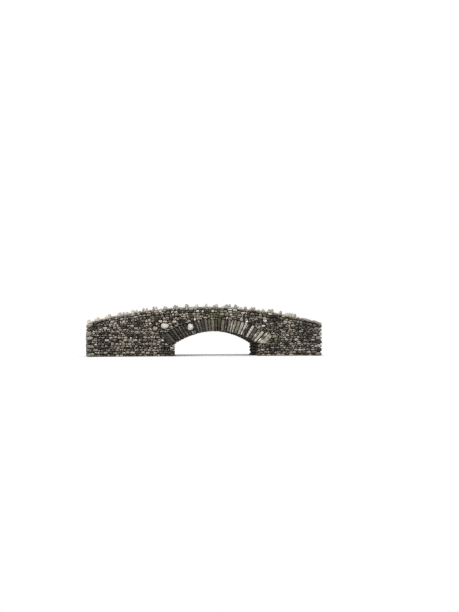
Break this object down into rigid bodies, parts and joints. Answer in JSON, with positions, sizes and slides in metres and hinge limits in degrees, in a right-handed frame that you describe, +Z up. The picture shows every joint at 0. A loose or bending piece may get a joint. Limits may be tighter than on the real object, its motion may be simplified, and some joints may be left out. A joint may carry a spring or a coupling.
{
  "type": "packhorse bridge",
  "caption": "Humped packhorse bridge of rubble stone: a low segmental arch with a fan of ring stones, solid parapets topped by upright coping stones, and short flared wings.",
  "frame": {"origin": "middle of the bridge in plan, on the level of its footings", "axes": "+X runs along the road, from the picture's left to its right; +Y runs across the road from the downstream face to the upstream face; +Z is up"},
  "size_m": [11.7, 3.1, 2.6463],
  "materials": {
    "footing_stone": "rough, damp at the foot",
    "barrel_stone": "rough",
    "ring_stone": "rough, weathered",
    "walling_stone": "rough, weathered",
    "parapet_stone": "rough, weathered",
    "coping_stone": "rough, crusted with pale lichen",
    "hearting": "loose rubble and earth",
    "paving": "worn"
  },
  "bodies": {
    "root": {"left_abutment": "footing_stone", "right_abutment": "footing_stone", "left_skewback": "footing_stone", "right_skewback": "footing_stone", "arch_barrel": "barrel_stone", "downstream_voussoirs": "ring_stone", "upstream_voussoirs": "ring_stone", "downstream_left_spandrel": "walling_stone", "downstream_right_spandrel": "walling_stone", "upstream_left_spandrel": "walling_stone", "upstream_right_spandrel": "walling_stone", "downstream_left_wing_wall": "walling_stone", "downstream_right_wing_wall": "walling_stone", "upstream_left_wing_wall": "walling_stone", "upstream_right_wing_wall": "walling_stone", "left_end_wall": "walling_stone", "right_end_wall": "walling_stone", "left_hearting": "hearting", "right_hearting": "hearting", "left_paving": "paving", "crown_paving": "paving", "right_paving": "paving", "downstream_parapet": "parapet_stone", "upstream_parapet": "parapet_stone", "downstream_left_wing_parapet": "parapet_stone", "downstream_right_wing_parapet": "parapet_stone", "upstream_left_wing_parapet": "parapet_stone", "upstream_right_wing_parapet": "parapet_stone", "downstream_coping": "coping_stone", "upstream_coping": "coping_stone", "downstream_left_wing_coping": "coping_stone", "downstream_right_wing_coping": "coping_stone", "upstream_left_wing_coping": "coping_stone", "upstream_right_wing_coping": "coping_stone"}
  },
  "joints": []
}
